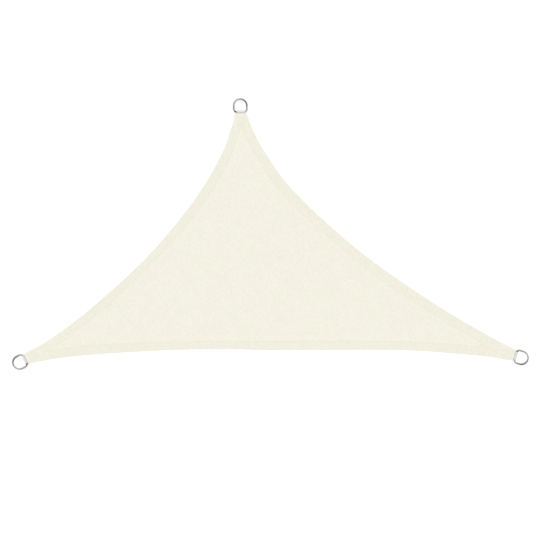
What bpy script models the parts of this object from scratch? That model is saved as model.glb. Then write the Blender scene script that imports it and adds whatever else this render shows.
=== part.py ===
"""A triangular shade sail, laid out flat and face up.

The sail cloth is one knitted panel whose three edges bow inwards. Its hem is
turned onto the face. Each corner is cut straight, and the cloth there closes
over the two ends of a webbing loop that holds a D-ring by its straight bar.

Units are metres and +Z is up. The origin lies on the ground, below the middle
of the sail, and the longest edge runs along X.
"""

import math

import bmesh
import bpy
from mathutils import Matrix, Vector
from mathutils.geometry import intersect_line_line_2d

# Thicknesses of the cloth, from the ground up.
PANEL_THICKNESS = 0.0012
HEM_THICKNESS = 0.0026
CORNER_THICKNESS = 0.0067
FOLD_RADIUS = 0.0009

# The gap kept between touching pieces, and how near points of one piece are merged.
GAP = 0.0003
WELD_DISTANCE = 0.000001

# Webbing loops.
WEBBING_WIDTH = 0.044
WEBBING_THICKNESS = 0.0018
WEBBING_TAIL = 0.070
LOOP_CLEARANCE = 0.0005
LOOP_SLACK = 0.0013
LOOP_SHOULDER = 0.0015

# D-rings, measured on the wire's centre line.
WIRE_RADIUS = 0.004
BOW_RADIUS = 0.0362
BAR_DISTANCE = 0.035
RING_CORNER_RADIUS = 0.017
BAR_TO_CLOTH = 0.0086
BAR_HEIGHT = WEBBING_THICKNESS + LOOP_CLEARANCE + WIRE_RADIUS

# The raised cloth over the webbing's ends, in the corner's own directions.
PATCH_LENGTH = 0.092
PATCH_BASE_WIDTH = 0.053
PATCH_TOP_WIDTH = 0.048
PATCH_BACK_SLOPE = 0.018
PATCH_ROUNDING = 0.002
CUT_ALLOWANCE = 0.006

# The corners: the middle of the straight cut, its width, the way it faces and
# the way its ring points, both in degrees from +X, and how far the ring has
# slid along its bar to the left, seen by someone looking out of the cut.
CORNERS = {
    "top": {"middle": (-0.1632, 0.6621), "width": 0.067, "faces": 90.5, "ring": 90.5, "slide": 0.0025},
    "right": {"middle": (1.3386, -0.6661), "width": 0.060, "faces": -16.6, "ring": -17.0, "slide": -0.0017},
    "left": {"middle": (-1.3417, -0.6855), "width": 0.059, "faces": 206.0, "ring": 206.7, "slide": 0.0016},
}

# The edges, each followed clockwise from one corner to the next. A row gives
# the share of the straight line between the two corners, how far the edge bows
# in from that line, and the width of the hem there.
COLUMNS = ("along", "bow", "hem")
EDGES = (
    (
        "left",
        "top",
        (
            (0.000, 0.000, 0.056),
            (0.025, 0.016, 0.056),
            (0.050, 0.033, 0.056),
            (0.100, 0.060, 0.055),
            (0.200, 0.098, 0.052),
            (0.300, 0.125, 0.055),
            (0.400, 0.146, 0.051),
            (0.500, 0.158, 0.051),
            (0.600, 0.158, 0.053),
            (0.700, 0.148, 0.057),
            (0.800, 0.124, 0.058),
            (0.900, 0.081, 0.056),
            (0.950, 0.044, 0.054),
            (0.975, 0.026, 0.054),
            (1.000, 0.000, 0.053),
        ),
    ),
    (
        "top",
        "right",
        (
            (0.000, 0.000, 0.058),
            (0.025, 0.028, 0.058),
            (0.050, 0.052, 0.059),
            (0.100, 0.088, 0.060),
            (0.200, 0.138, 0.062),
            (0.300, 0.158, 0.062),
            (0.400, 0.161, 0.056),
            (0.500, 0.157, 0.059),
            (0.600, 0.140, 0.064),
            (0.700, 0.116, 0.061),
            (0.800, 0.085, 0.060),
            (0.900, 0.046, 0.062),
            (0.950, 0.024, 0.061),
            (0.975, 0.011, 0.060),
            (1.000, 0.000, 0.060),
        ),
    ),
    (
        "right",
        "left",
        (
            (0.000, 0.000, 0.059),
            (0.025, 0.009, 0.059),
            (0.050, 0.021, 0.059),
            (0.100, 0.035, 0.058),
            (0.200, 0.057, 0.055),
            (0.300, 0.063, 0.055),
            (0.400, 0.064, 0.057),
            (0.500, 0.065, 0.055),
            (0.600, 0.073, 0.050),
            (0.700, 0.069, 0.051),
            (0.800, 0.058, 0.057),
            (0.900, 0.040, 0.057),
            (0.950, 0.024, 0.056),
            (0.975, 0.012, 0.056),
            (1.000, 0.000, 0.055),
        ),
    ),
)
EDGE_STEPS = 36

# Colours of the real finishes, as linear red, green and blue.
CLOTH_COLOR = (0.88, 0.87, 0.75)
WEBBING_COLOR = (0.78, 0.77, 0.76)
STEEL_COLOR = (0.62, 0.62, 0.63)


# Small helpers


def clear_scene():
    for obj in list(bpy.data.objects):
        bpy.data.objects.remove(obj, do_unlink=True)


def new_collection(name):
    collection = bpy.data.collections.new(name)
    bpy.context.scene.collection.children.link(collection)
    return collection


def new_material(name, color, roughness, metallic=0.0):
    material = bpy.data.materials.new(name)
    material.use_nodes = True
    shader = material.node_tree.nodes["Principled BSDF"]
    shader.inputs["Base Color"].default_value = (*color, 1.0)
    shader.inputs["Roughness"].default_value = roughness
    shader.inputs["Metallic"].default_value = metallic
    return material


def direction(degrees):
    angle = math.radians(degrees)
    return Vector((math.cos(angle), math.sin(angle)))


def arc(center, radius_u, radius_v, start, end, steps):
    """Points on an arc of an ellipse, from one angle in degrees to another, both ends included."""
    points = []
    for step in range(steps + 1):
        angle = math.radians(start + (end - start) * step / steps)
        points.append((center[0] + radius_u * math.cos(angle), center[1] + radius_v * math.sin(angle)))
    return points


def flat_curve(name, outlines, bottom, top, rounding=0.0):
    """A filled outline, with any holes in it, that is as thick as from bottom to top."""
    curve = bpy.data.curves.new(name, "CURVE")
    curve.dimensions = "2D"
    curve.fill_mode = "BOTH"
    curve.extrude = (top - bottom) / 2 - rounding
    curve.bevel_depth = rounding
    curve.bevel_resolution = 1
    curve.offset = -rounding
    for outline in outlines:
        spline = curve.splines.new("POLY")
        spline.points.add(len(outline) - 1)
        for point, (x, y) in zip(spline.points, outline):
            point.co = (x, y, 0.0, 1.0)
        spline.use_cyclic_u = True
    obj = bpy.data.objects.new(name, curve)
    obj.location.z = (bottom + top) / 2
    return obj


def as_mesh(curve_object, collection):
    """Replaces a curve object by a closed mesh object of the same name and place."""
    name = curve_object.name
    bpy.context.scene.collection.objects.link(curve_object)
    bpy.context.view_layer.update()
    evaluated = curve_object.evaluated_get(bpy.context.evaluated_depsgraph_get())
    mesh = bpy.data.meshes.new_from_object(evaluated)
    placed = curve_object.matrix_world.copy()
    bpy.data.objects.remove(curve_object, do_unlink=True)
    weld = bmesh.new()
    weld.from_mesh(mesh)
    bmesh.ops.remove_doubles(weld, verts=weld.verts, dist=WELD_DISTANCE)
    bmesh.ops.recalc_face_normals(weld, faces=weld.faces)
    weld.to_mesh(mesh)
    weld.free()
    obj = bpy.data.objects.new(name, mesh)
    obj.matrix_world = placed
    collection.objects.link(obj)
    return obj


def box(name, low, high, collection):
    """A box between two corners, its size in its mesh and its origin at the frame's."""
    bpy.ops.mesh.primitive_cube_add(size=1.0)
    obj = bpy.context.object
    obj.name = name
    size = Vector(high) - Vector(low)
    middle = (Vector(high) + Vector(low)) / 2
    obj.data.transform(Matrix.Translation(middle) @ Matrix.Diagonal((*size, 1.0)))
    for other in obj.users_collection:
        other.objects.unlink(obj)
    collection.objects.link(obj)
    return obj


def make_cutter(obj):
    obj.hide_render = True
    obj.display_type = "WIRE"


def combine(obj, other, operation):
    modifier = obj.modifiers.new(f"{operation.lower()} {other.name}", "BOOLEAN")
    modifier.operation = operation
    modifier.object = other
    modifier.solver = "EXACT"


def corner_frame(corner, angle):
    """The corner's own frame: X out of the cut, Y along it, and the ground at Z = 0."""
    x, y = corner["middle"]
    return Matrix.Translation((x, y, 0.0)) @ Matrix.Rotation(math.radians(angle), 4, "Z")


# Outline of the cloth


def edge_value(rows, column, along):
    """Reads a column of an edge's table at any share of its length, on a smooth curve through its rows."""
    shares = [row[0] for row in rows]
    values = [row[COLUMNS.index(column)] for row in rows]
    last = len(rows) - 1
    slopes = []
    for row in range(len(rows)):
        before = max(row - 1, 0)
        after = min(row + 1, last)
        slopes.append((values[after] - values[before]) / (shares[after] - shares[before]))
    row = max(index for index in range(last) if shares[index] <= along)
    span = shares[row + 1] - shares[row]
    t = (along - shares[row]) / span
    return (
        values[row] * (1 + 2 * t) * (1 - t) ** 2
        + slopes[row] * span * t * (1 - t) ** 2
        + values[row + 1] * t * t * (3 - 2 * t)
        + slopes[row + 1] * span * t * t * (t - 1)
    )


def cut_end(corner, side):
    """The end of a corner's cut on its left (+1) or right (-1), seen by someone looking out of it."""
    middle = Vector(corner["middle"])
    sideways = direction(corner["faces"] + 90.0)
    return middle + sideways * (side * corner["width"] / 2)


def edge_points(edge):
    """The cloth's outer edge, and the inner line of its hem, as two lists of points."""
    start_name, end_name, rows = edge
    start = cut_end(CORNERS[start_name], -1)
    end = cut_end(CORNERS[end_name], +1)
    chord = end - start
    inward = Vector((chord.y, -chord.x)).normalized()
    outer = []
    for step in range(EDGE_STEPS + 1):
        along = step / EDGE_STEPS
        outer.append(start + chord * along + inward * edge_value(rows, "bow", along))
    inner = []
    for step, point in enumerate(outer):
        tangent = outer[min(step + 1, EDGE_STEPS)] - outer[max(step - 1, 0)]
        across = Vector((tangent.y, -tangent.x)).normalized()
        inner.append(point + across * edge_value(rows, "hem", step / EDGE_STEPS))
    return outer, inner


def crossing(line, other):
    """Where two lines of points cross: the point, and the index that it follows in each line."""
    for index in range(len(line) - 1):
        for other_index in range(len(other) - 1):
            point = intersect_line_line_2d(
                line[index], line[index + 1], other[other_index], other[other_index + 1]
            )
            if point is not None:
                return point, index, other_index
    raise ValueError("these two hem lines don't cross")


def cloth_outline(edges):
    """The cloth's outline, with each corner carried on past its cut, which trims it."""
    outline = []
    for (start_name, end_name, _), (outer, _) in edges:
        outline.append(outer[0] + direction(CORNERS[start_name]["faces"]) * CUT_ALLOWANCE)
        outline.extend(outer)
        outline.append(outer[-1] + direction(CORNERS[end_name]["faces"]) * CUT_ALLOWANCE)
    return outline


def hem_line(edges):
    """The closed line along the inner edge of the three hems."""
    inner_lines = [inner for _, (_, inner) in edges]
    outline = []
    for index, line in enumerate(inner_lines):
        before = inner_lines[index - 1]
        after = inner_lines[(index + 1) % len(inner_lines)]
        point, _, first = crossing(before, line)
        _, last, _ = crossing(line, after)
        outline.append(point)
        outline.extend(line[first + 1 : last + 1])
    return outline


# Sail cloth


def raised_patch(name, corner, collection):
    """The cloth that lies over the webbing's ends: a low block with sloping sides and back."""
    half = PATCH_BASE_WIDTH / 2
    low = (-PATCH_LENGTH, -half, PANEL_THICKNESS / 2)
    high = (CUT_ALLOWANCE, half, CORNER_THICKNESS)
    patch = box(name, low, high, collection)
    middle_height = (low[2] + high[2]) / 2
    for vertex in patch.data.vertices:
        if vertex.co.z > middle_height:
            vertex.co.y *= PATCH_TOP_WIDTH / PATCH_BASE_WIDTH
            if vertex.co.x < 0:
                vertex.co.x += PATCH_BACK_SLOPE
    rounding = patch.modifiers.new("rounding", "BEVEL")
    rounding.width = PATCH_ROUNDING
    rounding.segments = 2
    patch.matrix_world = corner_frame(corner, corner["faces"])
    make_cutter(patch)
    return patch


def sail_cloth(parts, tools, material):
    edges = [(edge, edge_points(edge)) for edge in EDGES]
    hemmed = flat_curve("sail_cloth", [cloth_outline(edges)], 0.0, HEM_THICKNESS, FOLD_RADIUS)
    cloth = as_mesh(hemmed, parts)

    # The panel is the single layer inside the hem line.
    above = HEM_THICKNESS + CORNER_THICKNESS
    panel_relief = as_mesh(flat_curve("panel_relief", [hem_line(edges)], PANEL_THICKNESS, above), tools)
    make_cutter(panel_relief)
    combine(cloth, panel_relief, "DIFFERENCE")

    for name, corner in CORNERS.items():
        patch = raised_patch(f"patch_{name}", corner, tools)
        combine(cloth, patch, "UNION")

        # The straight cut across the corner.
        reach = corner["width"]
        trim = box(f"cut_{name}", (0.0, -reach, -reach), (reach, reach, reach), tools)
        trim.matrix_world = corner_frame(corner, corner["faces"])
        make_cutter(trim)
        combine(cloth, trim, "DIFFERENCE")

        # The pocket between the layers, which holds the webbing's ends.
        half = WEBBING_WIDTH / 2 + GAP
        pocket_top = PANEL_THICKNESS + 2 * WEBBING_THICKNESS + 2 * GAP
        pocket_end = WEBBING_TAIL + GAP
        pocket = box(
            f"pocket_{name}",
            (-pocket_end, -half, PANEL_THICKNESS),
            (CUT_ALLOWANCE, half, pocket_top),
            tools,
        )
        pocket.matrix_world = corner_frame(corner, corner["faces"])
        make_cutter(pocket)
        combine(cloth, pocket, "DIFFERENCE")

    weld = cloth.modifiers.new("weld", "WELD")
    weld.merge_threshold = WELD_DISTANCE
    cloth.data.materials.append(material)
    return cloth


# Webbing loops


def ease(start, end, share):
    return start + (end - start) * (1 - math.cos(math.pi * share)) / 2


def strap_section():
    """The loop's section, seen along the bar: its outer outline and the hole round the bar.

    The first number is the distance out of the cut, the second the height. Each
    side runs level through the pocket, swells round the bar and turns back.
    """
    tail_height = PANEL_THICKNESS + GAP + WEBBING_THICKNESS
    shoulder = BAR_TO_CLOTH - LOOP_SHOULDER
    steps = 8

    def side(half_height, tail_half_height, sign):
        points = []
        for step in range(steps + 1):
            share = step / steps
            middle = ease(tail_height, BAR_HEIGHT, share)
            points.append((shoulder * share, middle + sign * ease(tail_half_height, half_height, share)))
        return points

    outer_half = BAR_HEIGHT
    hole_half = WIRE_RADIUS + LOOP_CLEARANCE
    outer_reach = hole_half + LOOP_SLACK + WEBBING_THICKNESS
    hole_reach = hole_half + LOOP_SLACK
    center = (BAR_TO_CLOTH, BAR_HEIGHT)

    outer = [(-WEBBING_TAIL, tail_height - WEBBING_THICKNESS)]
    outer += side(outer_half, WEBBING_THICKNESS, -1)
    outer += arc(center, outer_reach, outer_half, -90, 90, 2 * steps)
    outer += reversed(side(outer_half, WEBBING_THICKNESS, +1))
    outer.append((-WEBBING_TAIL, tail_height + WEBBING_THICKNESS))

    hole = side(hole_half, 0.0, -1)
    hole += arc(center, hole_reach, hole_half, -90, 90, 2 * steps)
    hole += reversed(side(hole_half, 0.0, +1)[1:])
    return outer, hole


def webbing_loop(name, corner, collection, material):
    section = flat_curve(name, strap_section(), -WEBBING_WIDTH / 2, WEBBING_WIDTH / 2)
    stand_up = Matrix.Rotation(math.radians(90.0), 4, "X")
    section.matrix_world = corner_frame(corner, corner["faces"]) @ stand_up
    loop = as_mesh(section, collection)
    loop.data.materials.append(material)
    return loop


# D-rings


def ring_outline():
    """The wire's centre line round the ring, whose middle is the middle of the bow."""
    corner_u = -(BAR_DISTANCE - RING_CORNER_RADIUS)
    corner_v = BOW_RADIUS - RING_CORNER_RADIUS
    round_steps = 7
    points = arc((0.0, 0.0), BOW_RADIUS, BOW_RADIUS, -90, 90, 28)
    points += arc((corner_u, corner_v), RING_CORNER_RADIUS, RING_CORNER_RADIUS, 90, 180, round_steps)
    points += arc((corner_u, -corner_v), RING_CORNER_RADIUS, RING_CORNER_RADIUS, 180, 270, round_steps)
    return points


def d_ring(name, corner, collection, material):
    """A ring whose bar lies in the webbing loop and whose bow leans down onto the ground."""
    wire = bpy.data.curves.new(name, "CURVE")
    wire.dimensions = "3D"
    wire.bevel_depth = WIRE_RADIUS
    wire.bevel_resolution = 4
    outline = ring_outline()
    spline = wire.splines.new("POLY")
    spline.points.add(len(outline) - 1)
    for point, (u, v) in zip(spline.points, outline):
        point.co = (u + BAR_DISTANCE, v, 0.0, 1.0)
    spline.use_cyclic_u = True

    lean = math.asin((BAR_HEIGHT - WIRE_RADIUS) / (BAR_DISTANCE + BOW_RADIUS))
    bar_middle = corner_frame(corner, corner["faces"]) @ Vector((BAR_TO_CLOTH, corner["slide"], BAR_HEIGHT))
    ring = bpy.data.objects.new(name, wire)
    ring.rotation_euler = (0.0, lean, math.radians(corner["ring"]))
    ring.location = bar_middle
    mesh_ring = as_mesh(ring, collection)
    mesh_ring.data.materials.append(material)
    mesh_ring.data.shade_smooth()
    return mesh_ring


def build():
    clear_scene()
    parts = new_collection("shade_sail")
    tools = new_collection("cutters")
    cloth_material = new_material("sail_cloth", CLOTH_COLOR, 0.85)
    webbing_material = new_material("webbing", WEBBING_COLOR, 0.7)
    steel_material = new_material("ring_steel", STEEL_COLOR, 0.2, metallic=1.0)

    pieces = [sail_cloth(parts, tools, cloth_material)]
    for name, corner in CORNERS.items():
        pieces.append(webbing_loop(f"webbing_loop_{name}", corner, parts, webbing_material))
        pieces.append(d_ring(f"d_ring_{name}", corner, parts, steel_material))

    sail = bpy.data.objects.new("shade_sail", None)
    parts.objects.link(sail)
    for piece in pieces:
        piece.parent = sail


build()
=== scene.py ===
import bpy
import math
import numpy as np
from mathutils import Matrix


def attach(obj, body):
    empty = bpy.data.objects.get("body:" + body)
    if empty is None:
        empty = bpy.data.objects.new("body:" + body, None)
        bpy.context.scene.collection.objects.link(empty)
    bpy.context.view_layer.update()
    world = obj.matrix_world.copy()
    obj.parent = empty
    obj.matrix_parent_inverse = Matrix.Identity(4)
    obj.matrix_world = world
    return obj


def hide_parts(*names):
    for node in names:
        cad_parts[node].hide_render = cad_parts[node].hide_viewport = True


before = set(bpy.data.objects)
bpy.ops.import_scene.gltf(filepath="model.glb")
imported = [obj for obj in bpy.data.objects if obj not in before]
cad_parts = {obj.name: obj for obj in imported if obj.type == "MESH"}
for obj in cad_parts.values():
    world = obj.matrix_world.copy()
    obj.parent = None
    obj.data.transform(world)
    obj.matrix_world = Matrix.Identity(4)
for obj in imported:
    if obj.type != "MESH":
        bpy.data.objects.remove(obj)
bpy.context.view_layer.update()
print("frame loaded:", len(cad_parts), "solids")


view = {
    "middle": (-0.0025, -0.1980),   # what the middle of the picture shows
    "acrossPicture": 2.970,         # metres from the left edge of the picture to the right one
    "lens": 85.0,                   # millimetres
    "sensor": 36.0,
    "farthest": 100.0,              # metres; nothing past this is rendered
}


def addCamera(values):
    height = values["acrossPicture"] * values["lens"] / values["sensor"]
    bpy.ops.object.camera_add(location=(*values["middle"], height), rotation=(0.0, 0.0, 0.0))
    camera = bpy.context.object
    camera.name = "photoCamera"
    camera.data.lens = values["lens"]
    camera.data.sensor_width = values["sensor"]
    camera.data.clip_end = values["farthest"]
    bpy.context.scene.camera = camera


addCamera(view)
print("camera placed")


# Corners: the middle of the cut, its width, the way it faces, the way its ring points
# and how far the ring has slid along its bar. Edges run clockwise. A row gives the share
# of the straight line between two corners, how far the edge bows in from it and the
# width of the hem there.
sailCut = {
    "corners": {
        "top": {
            "middle": (-0.1632, 0.6621), "width": 0.067, "faces": 90.5, "ring": 90.5, "slide": 0.0025,
        },
        "right": {
            "middle": (1.3386, -0.6661), "width": 0.060, "faces": -16.6, "ring": -17.0, "slide": -0.0017,
        },
        "left": {
            "middle": (-1.3417, -0.6855), "width": 0.059, "faces": 206.0, "ring": 206.7, "slide": 0.0016,
        },
    },
    "columns": ("along", "bow", "hem"),
    "edges": {
        ("left", "top"): (
            (0.000, 0.000, 0.056), (0.025, 0.016, 0.056), (0.050, 0.033, 0.056),
            (0.100, 0.060, 0.055), (0.200, 0.098, 0.052), (0.300, 0.125, 0.055),
            (0.400, 0.146, 0.051), (0.500, 0.158, 0.051), (0.600, 0.158, 0.053),
            (0.700, 0.148, 0.057), (0.800, 0.124, 0.058), (0.900, 0.081, 0.056),
            (0.950, 0.044, 0.054), (0.975, 0.026, 0.054), (1.000, 0.000, 0.053),
        ),
        ("top", "right"): (
            (0.000, 0.000, 0.058), (0.025, 0.028, 0.058), (0.050, 0.052, 0.059),
            (0.100, 0.088, 0.060), (0.200, 0.138, 0.062), (0.300, 0.158, 0.062),
            (0.400, 0.161, 0.056), (0.500, 0.157, 0.059), (0.600, 0.140, 0.064),
            (0.700, 0.116, 0.061), (0.800, 0.085, 0.060), (0.900, 0.046, 0.062),
            (0.950, 0.024, 0.061), (0.975, 0.011, 0.060), (1.000, 0.000, 0.060),
        ),
        ("right", "left"): (
            (0.000, 0.000, 0.059), (0.025, 0.009, 0.059), (0.050, 0.021, 0.059),
            (0.100, 0.035, 0.058), (0.200, 0.057, 0.055), (0.300, 0.063, 0.055),
            (0.400, 0.064, 0.057), (0.500, 0.065, 0.055), (0.600, 0.073, 0.050),
            (0.700, 0.069, 0.051), (0.800, 0.058, 0.057), (0.900, 0.040, 0.057),
            (0.950, 0.024, 0.056), (0.975, 0.012, 0.056), (1.000, 0.000, 0.055),
        ),
    },
}

# How the cloth is folded and how finely it is meshed.
sailCloth = {
    "thickness": 0.0005,
    "restHeight": 0.00062,         # middle of the lowest layer, on the underside's stitches
    "layerStep": 0.00058,          # from the middle of one layer to the next
    "turnedUnder": 0.012,          # the hem's raw edge, folded back under it
    "foldReach": 0.0008,           # how far a fold bulges past the flat layers
    "stitchInset": 0.007,          # from the hem's inner edge to its stitching
    "stitchPinch": 0.00014,        # how deep the thread pulls the hem in
    "stitchShade": 0.026,          # painted shade: how much darker the cloth is painted in those hollows
    "paintedEdgeHighlight": 0.13,             # painted highlight: how much lighter a fold or a cut end is painted
    "paintedSlopeHighlight": 0.045,           # the same painted highlight where it slopes down beside the webbing
    "clearOfFold": 0.0034,         # an upper hem ends this far inside the edge that it crosses
    "cutBlend": 0.11,              # the hem's ends turn square to the cut over this length
    "slack": 0.00045,              # how far the panel lifts off the ground at most
    # each swell is a share of that and two waves that cross: radians a metre along X and
    # along Y, and a start
    "swells": (
        (0.36, (3.1, 1.7, 0.6), (-1.9, 5.3, 1.1)),
        (0.14, (11.0, -7.0, 2.0), (4.0, 9.0, 0.0)),
    ),
    "acrossCells": 44,
    "cornerRows": {"top": 128, "right": 148, "left": 144},
    "closeRows": (0.0, 0.0012, 0.0028, 0.0055),  # rows beside the cut, in metres from it
    "edgePoints": 1200,            # points of an edge from which distances are measured
    "batch": 4000,                 # points whose distance is measured at one time
    "flat": (2.72, 1.45),          # width and length of the cloth before it was hemmed
    "flatArea": 1.84,
}

# The hem's own shape. A depth is measured in from the outer edge, and an inset out from
# the hem's inner edge, where it turns under.
hemShape = {
    "widthTries": 81,
    "softenPasses": 6,
    "puckerHeight": 0.00022,
    # waves along the hem: radians a metre, a start and a share
    "puckers": ((231.0, 1.3, 0.35), (151.0, 0.4, 0.45), (97.0, 0.0, 0.20)),
    "spells": (11.0, 2.0, 0.25),   # the same, for how their strength comes and goes
    "puckerDepths": (0.012, 0.036),  # where they set in and where they are full
    "ridgeInsets": (0.0190, 0.0125),  # where it rises onto the part that is turned under
    # how far short of another hem's inner edge it starts to rise onto it, and is up
    "climb": (0.0085, 0.0005),
    "hollow": 0.0030,              # how far the stitching draws it down, on each side
    "dark": 0.0090,                # how far the painted shade reaches there
    "darkSwing": 0.4,              # how much the puckers change that
    "lipLength": 0.0030,           # its end dips over this length
    "lipDip": 0.00040,
    "paintedEndHighlight": (0.0060, 0.0010),  # from the cut: where the painted highlight on the end starts and where it is full
    "paintedInnerHighlight": (0.0040, 0.0010),  # the same for the painted highlight on the inner edge, by inset
    "outerTurns": (-90, -45, 0, 45),  # degrees round the outer fold, from below
    "evenColumns": 6,              # columns of points from the fold to the inset below
    "evenTo": 0.0205,
    "insets": (0.0165, 0.0125, 0.0098, 0.0070, 0.0042, 0.0014),
    "innerTurns": (45, 0, -45),    # degrees round the inner fold, from above
}

# The pocket in a corner that the webbing's ends fill.
pocket = {
    "halfWidth": 0.0236,
    "slope": 0.0150,
    "length": 0.0715,
    "backSlope": 0.0180,
    "rise": 0.00425,
}


meshing = {
    "merge": 0.00004,              # points nearer than this become one
    "sharpFrom": 50.0,             # a bend of this many degrees stays sharp
}


def deselectAll():
    bpy.ops.object.select_all(action="DESELECT")


def selectOnly(obj):
    deselectAll()
    obj.select_set(True)
    bpy.context.view_layer.objects.active = obj


def applyModifier(obj, modifier):
    selectOnly(obj)
    bpy.ops.object.modifier_apply(modifier=modifier.name)


def mergeAndFaceOut(obj):
    # near points become one, and the faces turn outwards
    selectOnly(obj)
    bpy.ops.object.mode_set(mode="EDIT")
    bpy.ops.mesh.select_all(action="SELECT")
    bpy.ops.mesh.remove_doubles(threshold=meshing["merge"])
    bpy.ops.mesh.normals_make_consistent(inside=False)
    bpy.ops.object.mode_set(mode="OBJECT")


def giveThickness(obj, thickness):
    # the sheet gets half of its thickness on each side
    wall = obj.modifiers.new("thickness", "SOLIDIFY")
    wall.thickness = thickness
    wall.offset = 0.0
    applyModifier(obj, wall)
    bpy.ops.object.shade_smooth_by_angle(angle=math.radians(meshing["sharpFrom"]))


def joinPieces(pieces, name):
    deselectAll()
    for piece in pieces:
        piece.select_set(True)
    bpy.context.view_layer.objects.active = pieces[0]
    if len(pieces) > 1:
        bpy.ops.object.join()
    joined = bpy.context.view_layer.objects.active
    joined.name = name
    joined.data.name = name
    return joined


def smooth(value, start, end):
    # 0 up to start, 1 from end on, and a soft S between them; start may be above end
    share = np.clip((value - start) / (end - start), 0.0, 1.0)
    return share * share * (3.0 - 2.0 * share)


def heading(degrees):
    return np.array((math.cos(math.radians(degrees)), math.sin(math.radians(degrees))))


def lengthAlong(line):
    # how far each of a line's points is from its start, along the line
    steps = np.linalg.norm(np.diff(line, axis=0), axis=1)
    return np.concatenate(((0.0,), np.cumsum(steps)))


def placeGrid(name, points, tone=None):
    # a grid primitive whose points are moved to an array of [column, row, xyz]; tone is the
    # painted highlight and shade on the cloth at each, how much lighter or darker it is painted
    columns = points.shape[0] - 1
    rows = points.shape[1] - 1
    deselectAll()
    bpy.ops.mesh.primitive_grid_add(x_subdivisions=columns, y_subdivisions=rows, size=2.0)
    sheet = bpy.context.object
    sheet.name = name
    flat = np.array([vertex.co for vertex in sheet.data.vertices])
    column = np.rint((flat[:, 0] + 1.0) / 2.0 * columns).astype(int)
    row = np.rint((flat[:, 1] + 1.0) / 2.0 * rows).astype(int)
    sheet.data.vertices.foreach_set("co", points[column, row].astype(np.float32).ravel())
    if tone is not None:
        shade = sheet.data.attributes.new("tone", "FLOAT", "POINT")
        shade.data.foreach_set("value", tone[column, row].astype(np.float32))
    return sheet


def readTable(rows, column, along):
    # a smooth curve through a table's rows, read at any shares of the edge
    table = np.array(rows)
    shares = table[:, 0]
    values = table[:, sailCut["columns"].index(column)]
    last = len(rows) - 1
    index = np.arange(len(rows))
    before = np.maximum(index - 1, 0)
    after = np.minimum(index + 1, last)
    slopes = (values[after] - values[before]) / (shares[after] - shares[before])
    row = np.clip(np.searchsorted(shares, along, side="right") - 1, 0, last - 1)
    span = shares[row + 1] - shares[row]
    part = (along - shares[row]) / span
    return (
        values[row] * (1 + 2 * part) * (1 - part) ** 2
        + slopes[row] * span * part * (1 - part) ** 2
        + values[row + 1] * part ** 2 * (3 - 2 * part)
        + slopes[row + 1] * span * part ** 2 * (part - 1)
    )


def cutEnd(name, side):
    # the end of a corner's cut on its left (+1) or right (-1), looking out of it
    corner = sailCut["corners"][name]
    return np.array(corner["middle"]) + heading(corner["faces"] + 90.0) * side * corner["width"] / 2


def cutFrame(name, points):
    # how far points lie out of a corner's cut, and along it
    corner = sailCut["corners"][name]
    offset = points[..., :2] - np.array(corner["middle"])
    return offset @ heading(corner["faces"]), offset @ heading(corner["faces"] + 90.0)


def edgeShares(edgeNames):
    # where the rows of cells meet the edge: close together beside each cut, even between
    start, end = edgeNames
    chord = np.linalg.norm(cutEnd(end, +1) - cutEnd(start, -1))
    close = np.array(sailCloth["closeRows"]) / chord

    def half(rows):
        return np.concatenate((close, np.linspace(close[-1], 0.5, rows - len(close) + 2)[1:]))

    fromStart = half(sailCloth["cornerRows"][start])
    fromEnd = half(sailCloth["cornerRows"][end])
    return np.concatenate((fromStart, 1.0 - fromEnd[::-1][1:]))


def edgeLine(edgeNames, shares):
    # outer edge, the way inwards square to it, and the hem's width at those shares
    start, end = edgeNames
    rows = sailCut["edges"][edgeNames]
    first = cutEnd(start, -1)
    chord = cutEnd(end, +1) - first
    inward = np.array((chord[1], -chord[0])) / np.linalg.norm(chord)
    outer = first + np.outer(shares, chord) + np.outer(readTable(rows, "bow", shares), inward)
    tangent = np.gradient(outer, axis=0)
    tangent /= np.linalg.norm(tangent, axis=1)[:, None]
    across = np.stack((tangent[:, 1], -tangent[:, 0]), axis=1)
    return outer, across, readTable(rows, "hem", shares)


class EdgeStrip:
    # one edge of the sail, with all that the panel and its hem need to know about it
    def __init__(self, names):
        self.names = names
        self.shares = edgeShares(names)
        outer, across, self.hem = edgeLine(names, self.shares)
        self.travel = lengthAlong(outer)
        start, end = names
        startCut = heading(sailCut["corners"][start]["faces"] + 90.0)
        endCut = -heading(sailCut["corners"][end]["faces"] + 90.0)
        nearStart = smooth(self.travel, sailCloth["cutBlend"], 0.0)[:, None]
        nearEnd = smooth(self.travel[-1] - self.travel, sailCloth["cutBlend"], 0.0)[:, None]
        lead = across * (1 - nearStart - nearEnd) + startCut * nearStart + endCut * nearEnd
        lead /= np.linalg.norm(lead, axis=1)[:, None]
        self.across = across
        self.lead = lead / np.sum(lead * across, axis=1)[:, None]  # one metre square to the edge
        self.outer = outer + self.lead * sailCloth["foldReach"]
        dense = np.linspace(0.0, 1.0, sailCloth["edgePoints"])
        self.denseLine, _, self.denseHem = edgeLine(names, dense)

    def at(self, depth):
        # the point at each row that lies this far in from the edge
        return self.outer + self.lead * np.asarray(depth)[..., None]

    def reach(self, points):
        # how far points lie in from this edge, and the hem's width where they are nearest
        flat = points.reshape(-1, 2)
        found = np.empty(len(flat))
        hem = np.empty(len(flat))
        for first in range(0, len(flat), sailCloth["batch"]):
            batch = slice(first, first + sailCloth["batch"])
            squares = ((flat[batch, None, :] - self.denseLine[None]) ** 2).sum(axis=2)
            found[batch] = np.sqrt(squares.min(axis=1))
            hem[batch] = self.denseHem[squares.argmin(axis=1)]
        shape = points.shape[:-1]
        return found.reshape(shape), hem.reshape(shape)


def soften(line, passes):
    for _ in range(passes):
        line = np.concatenate((line[:1], (line[:-2] + 2 * line[1:-1] + line[2:]) / 4, line[-1:]))
    return line


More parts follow.
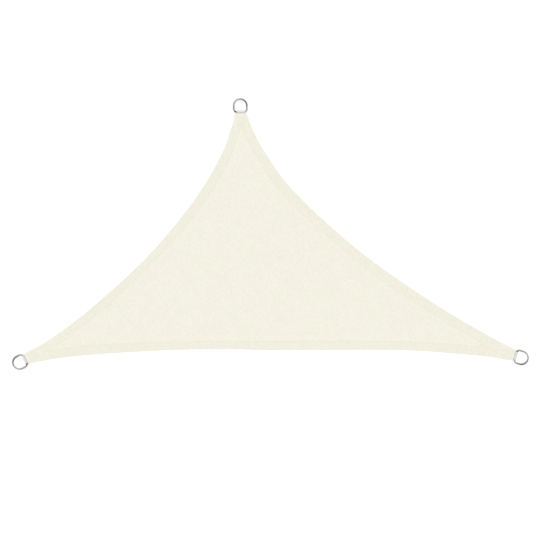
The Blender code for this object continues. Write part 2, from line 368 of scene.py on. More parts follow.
def clothLift(points):
    # the taut panel still lifts a little in long, low swells
    lift = np.full(points.shape[:-1], 0.5)
    for share, *waves in sailCloth["swells"]:
        swell = share
        for alongX, alongY, start in waves:
            swell = swell * np.sin(alongX * points[..., 0] + alongY * points[..., 1] + start)
        lift += swell
    return sailCloth["slack"] * lift


def pocketLift(points):
    lift = np.zeros(points.shape[:-1])
    for name in sailCut["corners"]:
        out, along = cutFrame(name, points)
        edge = pocket["halfWidth"]
        sides = smooth(np.abs(along), edge + pocket["slope"], edge)
        back = smooth(out, -pocket["length"] - pocket["backSlope"], -pocket["length"])
        lift = np.maximum(lift, pocket["rise"] * sides * back)
    return lift


def overHem(other, points):
    # the layers of another hem that this one lies over: one, two where that is turned under
    reach, hem = other.reach(points)
    ridgeFrom, ridgeFull = hemShape["ridgeInsets"]
    climbFrom, climbFull = hemShape["climb"]
    layers = 1.0 + smooth(reach, hem - ridgeFrom, hem - ridgeFull)
    return layers * smooth(reach, hem + climbFrom, hem + climbFull)


def buildPanel(strips):
    # the bottom layer: a patch from each corner's cut to the middle of the sail
    half = sailCloth["acrossCells"] // 2
    mids = {}
    for names, strip in strips.items():
        mids[names] = strip.outer[sailCloth["cornerRows"][names[0]]]
    centre = sum(mids.values()) / len(mids)
    patches = []
    for corner in sailCut["corners"]:
        leaving = next(strip for names, strip in strips.items() if names[0] == corner)
        coming = next(strip for names, strip in strips.items() if names[1] == corner)
        rows = sailCloth["cornerRows"][corner]
        right = leaving.outer[:rows + 1]
        left = coming.outer[::-1][:rows + 1]
        toRight = np.linspace(0.0, 1.0, 2 * half + 1)
        toInner = leaving.travel[:rows + 1] / leaving.travel[rows]
        cut = left[0] + np.outer(toRight, right[0] - left[0])
        inner = np.concatenate((
            left[-1] + np.outer(np.linspace(0, 1, half + 1)[:-1], centre - left[-1]),
            centre + np.outer(np.linspace(0, 1, half + 1), right[-1] - centre),
        ))
        # every point is blended from the patch's four sides
        toRight = toRight[:, None, None]
        toInner = toInner[None, :, None]
        flat = (
            (1 - toRight) * left[None] + toRight * right[None]
            + (1 - toInner) * cut[:, None] + toInner * inner[:, None]
            - (1 - toRight) * (1 - toInner) * left[0] - toRight * (1 - toInner) * right[0]
            - (1 - toRight) * toInner * left[-1] - toRight * toInner * right[-1]
        )
        height = sailCloth["restHeight"] + clothLift(flat)
        points = np.concatenate((flat, height[..., None]), axis=2)[:, ::-1]
        patches.append(placeGrid("panelPatch", points, np.zeros(points.shape[:2])))
    return patches


def hemWidth(strip, under, over):
    # near its ends a hem is narrower, where it meets the edge on the other side
    width = strip.hem - sailCloth["foldReach"]
    samples = np.linspace(0.0, 1.0, hemShape["widthTries"])
    firstHalf = strip.travel < strip.travel[-1] / 2
    for other, near in ((under, firstHalf), (over, ~firstHalf)):
        tries = strip.outer[:, None] + strip.lead[:, None] * (width[:, None] * samples)[..., None]
        room, _ = other.reach(tries)
        tight = room < sailCloth["clearOfFold"]
        firstTight = np.where(tight.any(axis=1), tight.argmax(axis=1), len(samples) - 1)
        limit = width * samples[np.maximum(firstTight - 1, 1)]
        width = np.where(near, np.minimum(width, limit), width)
    return soften(width, hemShape["softenPasses"])


def puckerWave(travel):
    # puckers that the stitching draws in, uneven along the edge
    wave = sum(share * np.sin(travel * pace + start) for pace, start, share in hemShape["puckers"])
    pace, start, swing = hemShape["spells"]
    return wave * (1.0 - swing + swing * np.sin(travel * pace + start))


def paintedSlopeLight(points):
    # painted highlight, most halfway up the slope beside the webbing, none on the flat
    raised = pocketLift(points) / pocket["rise"]
    return sailCloth["paintedSlopeHighlight"] * 4.0 * raised * (1.0 - raised)


def buildHem(names, strips):
    # a hem: round the fold at the edge, in over the panel, and turned under at its inner edge
    strip = strips[names]
    start, end = names
    under = next(other for other in strips.values() if other.names[1] == start)
    over = next(other for other in strips.values() if other.names[0] == end)
    step = sailCloth["layerStep"]
    width = hemWidth(strip, under, over)
    travel = strip.travel
    fromCut = np.minimum(travel, travel[-1] - travel)
    firstHalf = travel < travel[-1] / 2
    wave = puckerWave(travel)
    columns = []
    paintedLights = []

    def layerHeight(points, depth):
        ridgeFrom, ridgeFull = hemShape["ridgeInsets"]
        onTop = np.where(firstHalf, overHem(under, points), 0.0)
        ridge = smooth(depth, width - ridgeFrom, width - ridgeFull)
        height = sailCloth["restHeight"] + clothLift(points) + pocketLift(points)
        height += step * (1.0 + ridge + onTop)
        fromStitch = np.abs(depth - (width - sailCloth["stitchInset"]))
        height -= sailCloth["stitchPinch"] * smooth(fromStitch, hemShape["hollow"], 0.0)
        height += hemShape["puckerHeight"] * wave * smooth(depth, *hemShape["puckerDepths"])
        return height - hemShape["lipDip"] * smooth(fromCut, hemShape["lipLength"], 0.0)

    def addColumn(place, height, tone):
        columns.append(np.column_stack((place, height)))
        paintedLights.append(tone)

    # round the fold at the edge, from below
    # the fold and the cut end are painted lighter, as a painted highlight
    paintedEndHighlight = sailCloth["paintedEdgeHighlight"] * smooth(fromCut, *hemShape["paintedEndHighlight"])
    edgePoint = strip.at(np.zeros(len(travel)))
    low = sailCloth["restHeight"] + clothLift(edgePoint)
    high = layerHeight(edgePoint, np.zeros(len(travel)))
    bulge = sailCloth["foldReach"] - sailCloth["thickness"] / 2
    for turn in hemShape["outerTurns"]:
        place = strip.outer - strip.across * bulge * math.cos(math.radians(turn))
        rise = (1 + math.sin(math.radians(turn))) / 2
        addColumn(place, low + (high - low) * rise, paintedEndHighlight + paintedSlopeLight(place))

    # in over the panel, with the hollow that the stitching draws
    swing = hemShape["darkSwing"]
    stitchShade = sailCloth["stitchShade"] * (1.0 - swing - swing * wave)
    evenShares = np.linspace(0.0, 1.0, hemShape["evenColumns"])
    depths = [(width - hemShape["evenTo"]) * share for share in evenShares]
    depths += [width - inset for inset in hemShape["insets"]]
    for depth in depths:
        place = strip.at(depth)
        fromStitch = np.abs(depth - (width - sailCloth["stitchInset"]))
        # painted shade in the hollow that the stitching draws
        shade = stitchShade * smooth(fromStitch, hemShape["dark"], 0.0)
        # the hem's inner edge is painted lighter, as a painted highlight
        shine = sailCloth["paintedEdgeHighlight"] * smooth(width - depth, *hemShape["paintedInnerHighlight"])
        light = np.maximum(paintedEndHighlight, shine) + paintedSlopeLight(place)
        addColumn(place, layerHeight(place, depth), light - shade)

    # round the inner fold and back under the hem, as far as the raw edge
    radius = step / 2
    inset = hemShape["insets"][-1]
    for turn in hemShape["innerTurns"]:
        place = strip.at(width - inset + radius * math.cos(math.radians(turn)))
        height = layerHeight(place, width - inset) - radius * (1 - math.sin(math.radians(turn)))
        # the inner fold is painted lighter all along, as a painted highlight
        addColumn(place, height, np.full(len(travel), sailCloth["paintedEdgeHighlight"]))
    covered = [inset for inset in reversed(hemShape["insets"]) if inset < sailCloth["turnedUnder"]]
    for inset in covered + [sailCloth["turnedUnder"]]:
        place = strip.at(width - inset)
        addColumn(place, layerHeight(place, width - inset) - step, np.zeros(len(travel)))
    return placeGrid("hemStrip", np.array(columns), np.array(paintedLights)), width


def buildSail():
    strips = {names: EdgeStrip(names) for names in sailCut["edges"]}
    panels = buildPanel(strips)
    hems = []
    widths = {}
    for names in strips:
        hem, widths[names] = buildHem(names, strips)
        hems.append(hem)
    for piece in panels + hems:
        piece.data.materials.append(panelCloth)
        piece.data.materials.append(hemCloth)
    for hem in hems:
        hem.data.polygons.foreach_set("material_index", [1] * len(hem.data.polygons))
    sail = joinPieces(panels + hems, "sail")
    mergeAndFaceOut(sail)
    print("sail cut:", round(sum(face.area for face in sail.data.polygons), 4), "square metres")
    giveThickness(sail, sailCloth["thickness"])
    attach(sail, "root")
    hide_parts("sail_cloth")
    return sail, strips, widths


def newMaterial(name, color, roughness, metallic=0.0):
    material = bpy.data.materials.new(name)
    material.use_nodes = True
    shader = material.node_tree.nodes["Principled BSDF"]
    shader.inputs["Base Color"].default_value = (*color, 1.0)
    shader.inputs["Roughness"].default_value = roughness
    shader.inputs["Metallic"].default_value = metallic
    return material, material.node_tree, shader


def plug(tree, source, socket):
    # a link where the source is a socket, a fixed value otherwise
    if isinstance(source, bpy.types.NodeSocket):
        tree.links.new(source, socket)
    else:
        socket.default_value = source


def doMath(tree, operation, *sources):
    node = tree.nodes.new("ShaderNodeMath")
    node.operation = operation
    for socket, source in zip(node.inputs, sources):
        plug(tree, source, socket)
    return node.outputs[0]


def waveOf(tree, source, pitch, shift=0.0):
    # 0 to 1 and back once in each pitch
    turns = doMath(tree, "MULTIPLY_ADD", source, 2 * math.pi / pitch, shift)
    return doMath(tree, "MULTIPLY_ADD", doMath(tree, "COSINE", turns), 0.5, 0.5)


def mixColor(tree, factor, first, second):
    node = tree.nodes.new("ShaderNodeMix")
    node.data_type = "RGBA"
    plug(tree, factor, node.inputs[0])
    plug(tree, first, node.inputs[6])
    plug(tree, second, node.inputs[7])
    return node.outputs[2]


def noiseOf(tree, vector, scale, detail=2.0):
    node = tree.nodes.new("ShaderNodeTexNoise")
    tree.links.new(vector, node.inputs["Vector"])
    node.inputs["Scale"].default_value = scale
    node.inputs["Detail"].default_value = detail
    return node.outputs["Fac"]


def bellOf(tree, distance, spread, steepness=0.7):
    # 1 where the distance is nothing, and about half where it is the spread
    share = doMath(tree, "DIVIDE", distance, spread)
    square = doMath(tree, "MULTIPLY", share, share)
    return doMath(tree, "EXPONENT", doMath(tree, "MULTIPLY", square, -steepness))


def moveVector(tree, operation, vector, amount):
    node = tree.nodes.new("ShaderNodeVectorMath")
    node.operation = operation
    plug(tree, vector, node.inputs[0])
    plug(tree, amount, node.inputs[1])
    return node.outputs[0]


def newGroup(name, inputs, outputs):
    # inputs: name, socket type and value; outputs: name and socket type
    group = bpy.data.node_groups.new(name, "ShaderNodeTree")
    for label, kind, value in inputs:
        socket = group.interface.new_socket(label, in_out="INPUT", socket_type=kind)
        if value is not None:
            socket.default_value = value
    for label, kind in outputs:
        group.interface.new_socket(label, in_out="OUTPUT", socket_type=kind)
    start = group.nodes.new("NodeGroupInput")
    end = group.nodes.new("NodeGroupOutput")
    return group, start.outputs, end.inputs


def placeGroup(tree, group, **sources):
    node = tree.nodes.new("ShaderNodeGroup")
    node.node_tree = group
    for label, source in sources.items():
        plug(tree, source, node.inputs[label])
    return node.outputs


knitShape = {
    "chain": 0.0032,               # from one upright chain of loops to the next
    "loop": 0.0026,                # from one loop to the next, along a chain
    "chainSharpness": 2.2,
    "bead": 0.45,                  # how far a chain drops between its loops
    "tapeHeight": 0.62,
    "tapeSlant": 2.0,              # loops that a tape rises across one chain's width
    "poreSharpness": 2.0,
}


def makeKnitGroup():
    # raschel knit: upright chains of loops, with tapes that cross between them
    group, given, made = newGroup(
        "knit",
        (
            ("Place", "NodeSocketVector", None),
            ("Chain", "NodeSocketFloat", knitShape["chain"]),
            ("Loop", "NodeSocketFloat", knitShape["loop"]),
        ),
        (("Height", "NodeSocketFloat"), ("Pores", "NodeSocketFloat")),
    )
    split = group.nodes.new("ShaderNodeSeparateXYZ")
    group.links.new(given["Place"], split.inputs[0])
    across = doMath(group, "DIVIDE", split.outputs["X"], given["Chain"])
    along = doMath(group, "DIVIDE", split.outputs["Y"], given["Loop"])
    chain = waveOf(group, across, 1.0)
    sharpChain = doMath(group, "POWER", chain, knitShape["chainSharpness"])
    loops = waveOf(group, along, 1.0)
    bead = doMath(group, "MULTIPLY_ADD", loops, knitShape["bead"], 1.0 - knitShape["bead"])
    upright = doMath(group, "MULTIPLY", sharpChain, bead)
    fromChain = doMath(group, "PINGPONG", across, 0.5)
    slant = doMath(group, "MULTIPLY_ADD", fromChain, knitShape["tapeSlant"], along)
    tapes = waveOf(group, slant, 1.0)
    between = doMath(group, "SUBTRACT", 1.0, chain)
    raisedTapes = doMath(group, "MULTIPLY", tapes, knitShape["tapeHeight"])
    tape = doMath(group, "MULTIPLY", raisedTapes, between)
    group.links.new(doMath(group, "ADD", upright, tape), made["Height"])
    pores = doMath(group, "MULTIPLY", between, doMath(group, "SUBTRACT", 1.0, tapes))
    group.links.new(doMath(group, "POWER", pores, knitShape["poreSharpness"]), made["Pores"])
    return group


mottleShape = {
    "cloudTone": 0.030,            # how much each changes the tone, if the material leaves it so
    "speckleTone": 0.055,
    "streakTone": 0.190,
    "clouds": 14.0,                # how fine each is: waves of noise to the metre
    "speckle": 300.0,
    "streaks": 290.0,
    "hue": 11.0,
    "streakStretch": (1.0, 0.25, 1.0),  # streaks are four times as long as they are wide
    "hueShift": (3.7, 1.9, 0.4),   # keeps the tint's patches apart from the clouds
}


def makeMottleGroup():
    # soft clouds of tone and a fine speckle, round a middle value of one
    group, given, made = newGroup(
        "mottle",
        (
            ("Place", "NodeSocketVector", None),
            ("Clouds", "NodeSocketFloat", mottleShape["cloudTone"]),
            ("Speckle", "NodeSocketFloat", mottleShape["speckleTone"]),
            ("Streaks", "NodeSocketFloat", mottleShape["streakTone"]),
        ),
        (("Tone", "NodeSocketFloat"), ("Hue", "NodeSocketFloat")),
    )

    def patches(place, scale, detail):
        return doMath(group, "SUBTRACT", noiseOf(group, place, scale, detail), 0.5)

    stretched = moveVector(group, "MULTIPLY", given["Place"], mottleShape["streakStretch"])
    shifted = moveVector(group, "ADD", given["Place"], mottleShape["hueShift"])
    clouds = patches(given["Place"], mottleShape["clouds"], 2.0)
    speckle = patches(given["Place"], mottleShape["speckle"], 1.0)
    streaks = patches(stretched, mottleShape["streaks"], 1.0)
    tone = doMath(group, "MULTIPLY", streaks, given["Streaks"])
    tone = doMath(group, "MULTIPLY_ADD", clouds, given["Clouds"], tone)
    speckleTone = doMath(group, "MULTIPLY_ADD", speckle, given["Speckle"], 1.0)
    group.links.new(doMath(group, "ADD", tone, speckleTone), made["Tone"])
    group.links.new(noiseOf(group, shifted, mottleShape["hue"]), made["Hue"])
    return group


def scaleColor(tree, color, factor):
    node = tree.nodes.new("ShaderNodeVectorMath")
    node.operation = "SCALE"
    plug(tree, color, node.inputs[0])
    plug(tree, factor, node.inputs["Scale"])
    return node.outputs[0]


def addBump(tree, shader, height, distance):
    bump = tree.nodes.new("ShaderNodeBump")
    bump.inputs["Strength"].default_value = 1.0
    bump.inputs["Distance"].default_value = distance
    tree.links.new(height, bump.inputs["Height"])
    tree.links.new(bump.outputs["Normal"], shader.inputs["Normal"])


knitGroup = makeKnitGroup()
mottleGroup = makeMottleGroup()

clothFinish = {
    "panel": (0.827, 0.807, 0.706),
    # the hem is painted darker than the panel, as painted shade for the less light that comes through
    # its two layers
    "hem": (0.809, 0.790, 0.683),
    "greener": (0.986, 1.004, 0.982),   # the two tints between which the cream wanders
    "pinker": (1.008, 0.996, 1.014),
    "poreShade": 0.16,
    "roughness": 0.82,
    "loopPolish": 0.12,                # how much smoother the loops are on top
    "relief": 0.00035,
    "sheen": 0.08,
    "sheenRoughness": 0.5,
    "specular": 0.35,
}


def makeCloth(name, color):
    material, tree, shader = newMaterial(name, color, clothFinish["roughness"])
    place = tree.nodes.new("ShaderNodeTexCoord").outputs["Object"]
    knit = placeGroup(tree, knitGroup, Place=place)
    mottle = placeGroup(tree, mottleGroup, Place=place)
    pale = [value * tint for value, tint in zip(color, clothFinish["greener"])]
    warm = [value * tint for value, tint in zip(color, clothFinish["pinker"])]
    tinted = mixColor(tree, mottle["Hue"], (*pale, 1.0), (*warm, 1.0))
    # the pores are painted darker, as painted shade for the floor seen through them
    shade = doMath(tree, "MULTIPLY_ADD", knit["Pores"], -clothFinish["poreShade"], 1.0)
    # the tone attribute carries the painted highlights of folds, cut ends and slopes, and the painted
    # shade of the stitching
    paintedLight = tree.nodes.new("ShaderNodeAttribute")
    paintedLight.attribute_name = "tone"
    withPaintedLight = doMath(tree, "MULTIPLY", shade, doMath(tree, "ADD", paintedLight.outputs["Fac"], 1.0))
    tone = doMath(tree, "MULTIPLY", withPaintedLight, mottle["Tone"])
    tree.links.new(scaleColor(tree, tinted, tone), shader.inputs["Base Color"])
    polish = doMath(tree, "MULTIPLY", knit["Height"], clothFinish["loopPolish"])
    rough = doMath(tree, "SUBTRACT", clothFinish["roughness"], polish)
    tree.links.new(rough, shader.inputs["Roughness"])
    addBump(tree, shader, knit["Height"], clothFinish["relief"])
    shader.inputs["Sheen Weight"].default_value = clothFinish["sheen"]
    shader.inputs["Sheen Roughness"].default_value = clothFinish["sheenRoughness"]
    shader.inputs["Specular IOR Level"].default_value = clothFinish["specular"]
    return material


panelCloth = makeCloth("panelCloth", clothFinish["panel"])
hemCloth = makeCloth("hemCloth", clothFinish["hem"])

threadFinish = {
    "color": (0.850, 0.842, 0.765),
    "roughness": 0.6,
    "mottle": {"Clouds": 0.02, "Speckle": 0.06, "Streaks": 0.0},
    "twist": 2400.0,                   # how fine the thread's own texture is
    "relief": 0.00008,
}


def makeThread():
    finish = threadFinish
    material, tree, shader = newMaterial("sewingThread", finish["color"], finish["roughness"])
    place = tree.nodes.new("ShaderNodeTexCoord").outputs["Object"]
    mottle = placeGroup(tree, mottleGroup, Place=place, **finish["mottle"])
    mottled = scaleColor(tree, finish["color"], mottle["Tone"])
    tree.links.new(mottled, shader.inputs["Base Color"])
    addBump(tree, shader, noiseOf(tree, place, finish["twist"], 1.0), finish["relief"])
    return material


sewingThread = makeThread()

webbingFinish = {
    "color": (0.795, 0.789, 0.786),
    "valley": (0.641, 0.633, 0.639),
    "mottle": {"Clouds": 0.03, "Speckle": 0.05, "Streaks": 0.0},
    "roughness": 0.62,
    "sheen": 0.15,
    "ribs": 31,                    # upright ribs across the strap
    "pick": 0.0014,                # from one weft thread to the next, in metres along the strap
    "pickDepth": 0.6,              # how far a rib drops between two weft threads
    "relief": 0.00022,
    "creaseAt": 0.0205,            # metres from the strap's middle, where the painted shade in the crease is darkest
    "creaseSpread": 0.0060,
    "creaseShade": 0.16,
}


def makeWebbing(strapLength):
    # plain-woven ribs that follow the strap's own map
    finish = webbingFinish
    material, tree, shader = newMaterial("webbingWeave", finish["color"], finish["roughness"])
    coords = tree.nodes.new("ShaderNodeTexCoord")
    split = tree.nodes.new("ShaderNodeSeparateXYZ")
    tree.links.new(coords.outputs["UV"], split.inputs[0])
    across = split.outputs["X"]
    along = split.outputs["Y"]
    rib = waveOf(tree, across, 1.0 / finish["ribs"], math.pi)
    whichRib = doMath(tree, "FLOOR", doMath(tree, "MULTIPLY", across, finish["ribs"]))
    offset = doMath(tree, "MULTIPLY", whichRib, math.pi)
    pick = waveOf(tree, along, finish["pick"] / strapLength, offset)
    weave = doMath(tree, "MULTIPLY_ADD", pick, finish["pickDepth"], 1.0 - finish["pickDepth"])
    height = doMath(tree, "MULTIPLY", rib, weave)
    mottle = placeGroup(tree, mottleGroup, Place=coords.outputs["Object"], **finish["mottle"])
    woven = mixColor(tree, height, (*finish["valley"], 1.0), (*finish["color"], 1.0))
    # painted shade in the crease where the strap leaves the cloth
    fromMiddle = doMath(tree, "ABSOLUTE", doMath(tree, "SUBTRACT", along, 0.5))
    fromCrease = doMath(tree, "MULTIPLY_ADD", fromMiddle, strapLength, -finish["creaseAt"])
    crease = bellOf(tree, fromCrease, finish["creaseSpread"])
    creaseShading = doMath(tree, "MULTIPLY_ADD", crease, -finish["creaseShade"], 1.0)
    tone = doMath(tree, "MULTIPLY", mottle["Tone"], creaseShading)
    tree.links.new(scaleColor(tree, woven, tone), shader.inputs["Base Color"])
    addBump(tree, shader, height, finish["relief"])
    shader.inputs["Sheen Weight"].default_value = finish["sheen"]
    return material


steelFinish = {
    # the painted reflection runs between these two colours
    "light": (0.90, 0.90, 0.91),
    "dark": (0.30, 0.30, 0.305),
    "middle": 0.59,                # the share of light in it
    "paintedReflection": (                    # painted reflection round the ring: how far that goes up and down, how often in a turn, and where it is highest, in degrees from the way the ring points
        (0.31, 1, 136.0),          # where it is highest, in degrees from the way the ring points
        (0.30, 2, 25.0),
    ),
    "grain": 260.0,
    "grainTone": 0.24,
    # painted shade, given as the heat tint of a weld, where the wire goes into the webbing
    "paintedShade": (0.150, 0.142, 0.110),
    "weldShadeAt": 141.0,
    "weldShadeSpread": 7.0,
    "weldRoughness": 0.25,
    "weldBead": 12.0,              # how many times as high as the polish lines it stands
    "roughness": 0.16,
    "grainRoughness": 0.16,
    "polishLines": 1500.0,
    "relief": 0.00001,
}


def makeSteel():
    # steel wire with a painted reflection that runs round the ring, and painted shade at its weld where
    # the wire goes into the webbing
    finish = steelFinish
    material, tree, shader = newMaterial("ringSteel", finish["light"], finish["roughness"], 1.0)
    around = tree.nodes.new("ShaderNodeAttribute")
    around.attribute_name = "aroundRing"
    degrees = around.outputs["Fac"]
    place = tree.nodes.new("ShaderNodeTexCoord").outputs["Object"]
    grain = noiseOf(tree, place, finish["grain"], 3.0)
    darkest = finish["middle"] - finish["grainTone"] / 2
    grainAndReflection = doMath(tree, "MULTIPLY_ADD", grain, finish["grainTone"], darkest)
    # the painted reflection of the studio, which turns with the ring
    for swing, times, at in finish["paintedReflection"]:
        turn = doMath(tree, "MULTIPLY", doMath(tree, "SUBTRACT", degrees, at), math.radians(times))
        grainAndReflection = doMath(tree, "MULTIPLY_ADD", doMath(tree, "COSINE", turn), swing, grainAndReflection)
    paintedSteel = mixColor(tree, grainAndReflection, (*finish["dark"], 1.0), (*finish["light"], 1.0))
    # painted shade at the weld, with its bead and rougher surface
    weldAndShade = bellOf(tree, doMath(tree, "SUBTRACT", degrees, finish["weldShadeAt"]), finish["weldShadeSpread"])
    tinted = mixColor(tree, weldAndShade, paintedSteel, (*finish["paintedShade"], 1.0))
    tree.links.new(tinted, shader.inputs["Base Color"])
    rough = doMath(tree, "MULTIPLY_ADD", grain, finish["grainRoughness"], finish["roughness"])
    rough = doMath(tree, "MULTIPLY_ADD", weldAndShade, finish["weldRoughness"], rough)
    tree.links.new(rough, shader.inputs["Roughness"])
    lines = noiseOf(tree, place, finish["polishLines"], 2.0)
    bead = doMath(tree, "MULTIPLY_ADD", weldAndShade, finish["weldBead"], lines)
    addBump(tree, shader, bead, finish["relief"])
    return material


ringSteel = makeSteel()
print("materials made")

sail, edgeStrips, hemWidths = buildSail()
print("sail folded and hemmed:", len(sail.data.polygons), "faces")


sewing = {
    "length": 0.0032,
    "pitch": 0.0042,
    "radius": 0.00034,
    "sides": 6,
    "rounds": 4,                   # rows of faces from one end of a stitch to the other
    "sink": 0.00012,               # how far a stitch lies down into the cloth
    "fromCut": 0.006,
    "seenFrom": 0.03,              # height from which the cloth under a row is looked for
    "boxLength": 0.050,            # the crossed box that holds a webbing's ends
    "boxWidth": 0.034,
    "boxFromCut": 0.009,
}


def sewRow(name, line, side):
    # one stitch, repeated along a curve that lies on the cloth; side is +1 on top, -1 below
    lift = sewing["radius"] - sewing["sink"]
    path = []
    for x, y in line:
        found, hit, _, _ = sail.ray_cast((x, y, sewing["seenFrom"] * side), (0.0, 0.0, -side))
        if found:
            path.append((x, y, max(hit.z + side * lift, sewing["radius"])))
    curve = bpy.data.curves.new(name + "Path", "CURVE")
    curve.dimensions = "3D"
    spline = curve.splines.new("POLY")
    spline.points.add(len(path) - 1)
    for point, (x, y, z) in zip(spline.points, path):
        point.co = (x, y, z, 1.0)
    guide = bpy.data.objects.new(name + "Path", curve)
    bpy.context.scene.collection.objects.link(guide)
    deselectAll()
    bpy.ops.mesh.primitive_uv_sphere_add(
        segments=sewing["sides"], ring_count=sewing["rounds"], radius=1.0,
        rotation=(0.0, math.radians(90.0), 0.0),
    )
    row = bpy.context.object
    row.name = name
    row.dimensions = (2 * sewing["radius"], 2 * sewing["radius"], sewing["length"])
    row.location.x = sewing["length"] / 2
    bpy.ops.object.transform_apply(location=True, rotation=True, scale=True)
    bpy.ops.object.shade_smooth()
    repeat = row.modifiers.new("repeat", "ARRAY")
    repeat.fit_type = "FIT_CURVE"
    repeat.curve = guide
    repeat.use_relative_offset = False
    repeat.use_constant_offset = True
    repeat.constant_offset_displace = (sewing["pitch"], 0.0, 0.0)
    bend = row.modifiers.new("bend", "CURVE")
    bend.object = guide
    applyModifier(row, repeat)
    applyModifier(row, bend)
    bpy.data.objects.remove(guide, do_unlink=True)
    return row


def evenly(points, step):
    # the same line with its points this far apart
    travel = lengthAlong(points)
    even = np.linspace(0.0, travel[-1], max(int(round(travel[-1] / step)), 1) + 1)
    return np.column_stack([np.interp(even, travel, points[:, axis]) for axis in (0, 1)])


def boxRows(corner):
    # the four sides of the box and its two diagonals, each as its two ends
    values = sailCut["corners"][corner]
    out = heading(values["faces"])
    along = heading(values["faces"] + 90.0)
    near = np.array(values["middle"]) - out * sewing["boxFromCut"]
    far = near - out * sewing["boxLength"]
    half = along * sewing["boxWidth"] / 2
    points = (near + half, far + half, far - half, near - half)
    sides = [(points[i], points[(i + 1) % 4]) for i in range(4)]
    return sides + [(points[0], points[2]), (points[1], points[3])]


def sewSail():
    rows = []
    for names, strip in edgeStrips.items():
        line = strip.at(hemWidths[names] - sailCloth["stitchInset"])
        ends = np.minimum(strip.travel, strip.travel[-1] - strip.travel)
        line = evenly(line[ends > sewing["fromCut"]], sewing["pitch"])
        rows += [sewRow("hemRow", line, side) for side in (1, -1)]
    for corner in sailCut["corners"]:
        for ends in boxRows(corner):
            line = evenly(np.array(ends), sewing["pitch"])
            rows += [sewRow("boxRow", line, side) for side in (1, -1)]
    thread = joinPieces(rows, "stitching")
    thread.data.materials.append(sewingThread)
    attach(thread, "root")
    return thread


stitching = sewSail()
print("hems and corners sewn:", len(stitching.data.polygons), "faces of thread")


strap = {
    "width": 0.044,
    "thickness": 0.0016,
    "tail": 0.070,
    "tailHeight": 0.0033,          # the middle of the two ends, one on the other
    "endStep": 0.0018,             # between the two ends' own middles
    "barHeight": 0.0063,
    "barToCloth": 0.0086,
    "shoulder": 0.0071,            # from the cut to where the loop is full
    "halfHeight": 0.0054,          # of the strap's middle line, over and under the bar
    "reach": 0.0067,               # how far its middle line goes round the bar
    "ribRelief": 0.00010,
    "pointsPerRib": 4,
    "rowsInTail": 18,
    "rowsOnSlope": 14,
    "rowsRound": 28,
}


def strapPath():
    # the strap's middle line, seen along the bar: distance out of the cut, and height
    tails = np.linspace(-strap["tail"], 0.0, strap["rowsInTail"] + 1)[:-1]
    slope = np.linspace(0.0, 1.0, strap["rowsOnSlope"] + 1)
    ease = (1 - np.cos(np.pi * slope)) / 2
    middle = strap["tailHeight"] + (strap["barHeight"] - strap["tailHeight"]) * ease
    half = strap["endStep"] / 2 + (strap["halfHeight"] - strap["endStep"] / 2) * ease
    out = strap["shoulder"] * slope
    turn = np.radians(np.linspace(-90.0, 90.0, strap["rowsRound"] + 1))
    endHeight = np.full(len(tails), strap["tailHeight"])
    tailLow = np.column_stack((tails, endHeight - strap["endStep"] / 2))
    low = np.column_stack((out, middle - half))
    bend = np.column_stack((
        strap["barToCloth"] + strap["reach"] * np.cos(turn),
        strap["barHeight"] + strap["halfHeight"] * np.sin(turn),
    ))
    high = np.column_stack((out, middle + half))[::-1]
    tailHigh = np.column_stack((tails, endHeight + strap["endStep"] / 2))[::-1]
    return np.concatenate((tailLow, low, bend, high, tailHigh))


def measureMap(sheet, line):
    # the rows of the sheet's map are set as far apart as they are along the line
    travel = lengthAlong(line)
    shares = travel / travel[-1]
    for place in sheet.data.uv_layers.active.data:
        place.uv.y = shares[round(place.uv.y * (len(line) - 1))]


def buildWebbing(name, corner, material):
    path = strapPath()
    along = np.gradient(path, axis=0)
    along /= np.linalg.norm(along, axis=1)[:, None]
    outward = np.column_stack((along[:, 1], -along[:, 0]))
    count = webbingFinish["ribs"]
    across = np.linspace(-0.5, 0.5, strap["pointsPerRib"] * count + 1)
    # the ribs are high and low where the weave's are
    height = -strap["ribRelief"] * np.cos(np.pi * count * (2 * across + 1))
    out = path[None, :, 0] + outward[None, :, 0] * height[:, None]
    rise = path[None, :, 1] + outward[None, :, 1] * height[:, None]
    side = np.broadcast_to((across * strap["width"])[:, None], out.shape)
    values = sailCut["corners"][corner]
    toward = heading(values["faces"])
    beside = heading(values["faces"] + 90.0)
    flat = np.array(values["middle"]) + out[..., None] * toward + side[..., None] * beside
    loop = placeGrid(name, np.concatenate((flat, rise[..., None]), axis=2))
    measureMap(loop, path)
    mergeAndFaceOut(loop)
    giveThickness(loop, strap["thickness"])
    loop.data.materials.append(material)
    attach(loop, "root")
    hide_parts(f"webbing_loop_{corner}")
    return loop


strapLength = float(lengthAlong(strapPath())[-1])
webbingWeave = makeWebbing(strapLength)
for cornerName in sailCut["corners"]:
    loopName = "webbingLoop" + cornerName.capitalize()
    buildWebbing(loopName, cornerName, webbingWeave)
print("webbing loops made, each of a strap", round(strapLength, 4), "m long")


wire = {
    "radius": 0.004,
    "bowRadius": 0.0362,
    "barDistance": 0.035,
    "cornerRadius": 0.017,
    "sides": 24,
    "barSteps": 4,
    "cornerSteps": 20,
    "sideSteps": 4,
    "bowSteps": 72,
}


def extrudeBy(x, y, steps):
    for _ in range(steps):
        move = {"value": (x / steps, y / steps, 0.0)}
        bpy.ops.mesh.extrude_region_move(TRANSFORM_OT_translate=move)


def spinRound(x, y, degrees, steps):
    # counter-clockwise seen from above; spin counts its angle the other way
    bpy.ops.mesh.spin(
        steps=steps, angle=-math.radians(degrees), center=(x, y, 0.0), axis=(0.0, 0.0, 1.0)
    )


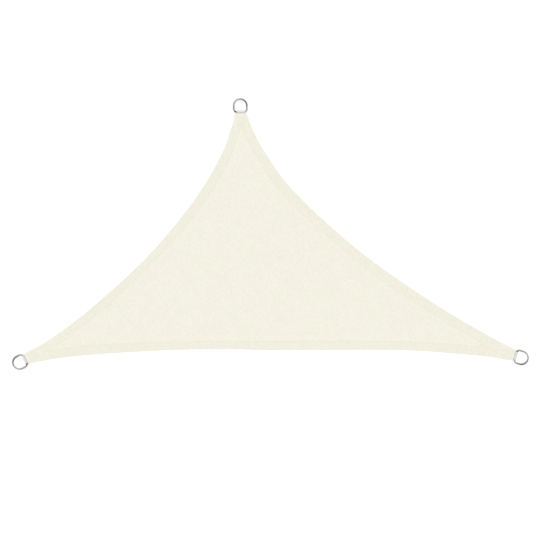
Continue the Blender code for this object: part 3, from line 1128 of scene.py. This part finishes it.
def buildRing(name, corner):
    # the wire's round section is drawn along the bar and bent round the D, back to where it began
    bow = wire["bowRadius"]
    bar = wire["barDistance"]
    bend = wire["cornerRadius"]
    deselectAll()
    bpy.ops.mesh.primitive_circle_add(
        vertices=wire["sides"], radius=wire["radius"], location=(-bar, 0.0, 0.0),
        rotation=(math.radians(90.0), 0.0, 0.0),
    )
    ring = bpy.context.object
    ring.name = name
    bpy.ops.object.transform_apply(location=True, rotation=True, scale=True)
    bpy.ops.object.mode_set(mode="EDIT")
    bpy.ops.mesh.select_all(action="SELECT")
    extrudeBy(0.0, bend - bow, wire["barSteps"])
    spinRound(bend - bar, bend - bow, 90.0, wire["cornerSteps"])
    extrudeBy(bar - bend, 0.0, wire["sideSteps"])
    spinRound(0.0, 0.0, 180.0, wire["bowSteps"])
    extrudeBy(bend - bar, 0.0, wire["sideSteps"])
    spinRound(bend - bar, bow - bend, 90.0, wire["cornerSteps"])
    extrudeBy(0.0, bend - bow, wire["barSteps"])
    bpy.ops.object.mode_set(mode="OBJECT")
    mergeAndFaceOut(ring)
    bpy.ops.object.shade_smooth()
    around = ring.data.attributes.new("aroundRing", "FLOAT", "POINT")
    degrees = [math.degrees(math.atan2(point.co.y, point.co.x)) for point in ring.data.vertices]
    around.data.foreach_set("value", degrees)

    # laid in its webbing loop, leaning from the bar down to the ground
    values = sailCut["corners"][corner]
    lean = math.asin((strap["barHeight"] - wire["radius"]) / (bar + bow))
    barMiddle = np.array(values["middle"]) + heading(values["faces"]) * strap["barToCloth"]
    barMiddle = barMiddle + heading(values["faces"] + 90.0) * values["slide"]
    place = Matrix.Translation((*barMiddle, strap["barHeight"]))
    place = place @ Matrix.Rotation(math.radians(values["ring"]), 4, "Z")
    place = place @ Matrix.Rotation(lean, 4, "Y")
    ring.matrix_world = place @ Matrix.Translation((bar, 0.0, 0.0))
    bpy.ops.object.transform_apply(location=True, rotation=True, scale=True)
    ring.data.materials.append(ringSteel)
    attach(ring, "root")
    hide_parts(f"d_ring_{corner}")
    return ring


for cornerName in sailCut["corners"]:
    buildRing("dRing" + cornerName.capitalize(), cornerName)
print("rings shaped")


studio = {
    "floor": (0.955, 0.955, 0.955),
    "floorRoughness": 0.9,
    "floorSize": 60.0,
    "sky": 0.43,
    # a sun's tilt is from straight above, and its turn is where it shines from, in degrees
    # from +X; its height makes no difference
    "suns": {
        "keyLight": {"strength": 1.60, "spread": 50.0, "tilt": 28.0, "turn": 125.0},
        "fillLight": {"strength": 1.05, "spread": 70.0, "tilt": 34.0, "turn": -50.0},
    },
    "sunHeight": 3.0,
}


def addFloor():
    deselectAll()
    bpy.ops.mesh.primitive_plane_add(size=studio["floorSize"], location=(0.0, 0.0, 0.0))
    floor = bpy.context.object
    floor.name = "floor"
    material, _, shader = newMaterial("floorPaint", studio["floor"], studio["floorRoughness"])
    shader.inputs["Specular IOR Level"].default_value = 0.0
    floor.data.materials.append(material)


def addSun(name, strength, spread, tilt, turn):
    bpy.ops.object.light_add(type="SUN", location=(0.0, 0.0, studio["sunHeight"]))
    light = bpy.context.object
    light.name = name
    light.data.energy = strength
    light.data.angle = math.radians(spread)
    light.rotation_euler = (0.0, math.radians(tilt), math.radians(turn))
    light.visible_glossy = False


def addSky(strength):
    world = bpy.data.worlds.new("studio")
    world.use_nodes = True
    background = world.node_tree.nodes["Background"]
    background.inputs["Color"].default_value = (1.0, 1.0, 1.0, 1.0)
    background.inputs["Strength"].default_value = strength
    bpy.context.scene.world = world


addFloor()
for sunName, sunValues in studio["suns"].items():
    addSun(sunName, **sunValues)
addSky(studio["sky"])
bpy.context.scene.view_settings.view_transform = "Standard"
print("floor and lights placed")
